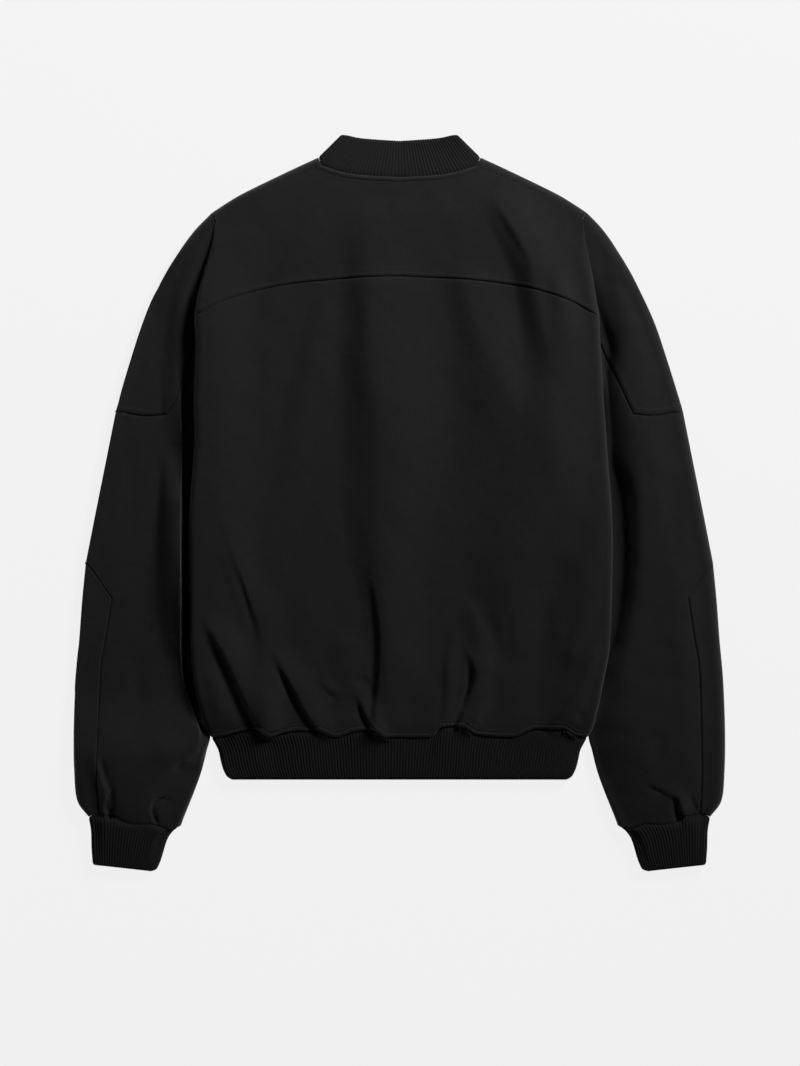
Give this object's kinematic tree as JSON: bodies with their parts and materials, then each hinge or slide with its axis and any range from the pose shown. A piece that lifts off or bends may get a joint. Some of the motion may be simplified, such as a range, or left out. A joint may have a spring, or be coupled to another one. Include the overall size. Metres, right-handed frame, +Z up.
{
  "type": "bomber jacket",
  "caption": "Plain bomber jacket with a back yoke, pointed forearm panels and a rib-knit collar, cuffs and hem, laid flat on its front.",
  "frame": {"origin": "middle of the jacket's outline, on the surface it lies on", "axes": "+X to the wearer's right side, which lies to the right when it is seen from above with the collar up, +Y up the back to the collar, +Z up from the surface"},
  "size_m": [0.7162, 0.8107, 0.034],
  "materials": {
    "cloth": "matt black woven wool-look cloth",
    "rib_knit": "matt black rib knit",
    "zip_tape": "black woven tape",
    "zip_metal": "black satin"
  },
  "bodies": {
    "jacket": {"back_yoke": "cloth", "back_body": "cloth", "front_left": "cloth", "front_right": "cloth", "sleeve_upper_left": "cloth", "sleeve_upper_right": "cloth", "sleeve_lower_left": "cloth", "sleeve_lower_right": "cloth", "forearm_panel_left": "cloth", "forearm_panel_right": "cloth", "collar_rib": "rib_knit", "cuff_left": "rib_knit", "cuff_right": "rib_knit", "hem_rib": "rib_knit", "zip_tape_left": "zip_tape", "zip_tape_right": "zip_tape", "zip_slider": "zip_metal"},
    "pull_tab": {"zip_pull_tab": "zip_metal"}
  },
  "joints": [
    {"name": "pull_tab_swing", "type": "hinge", "parent": "jacket", "child": "pull_tab", "pos_m": [0, 0.281, 0.00385], "axis": [1, 0, 0], "range_deg": [0, 160]}
  ]
}
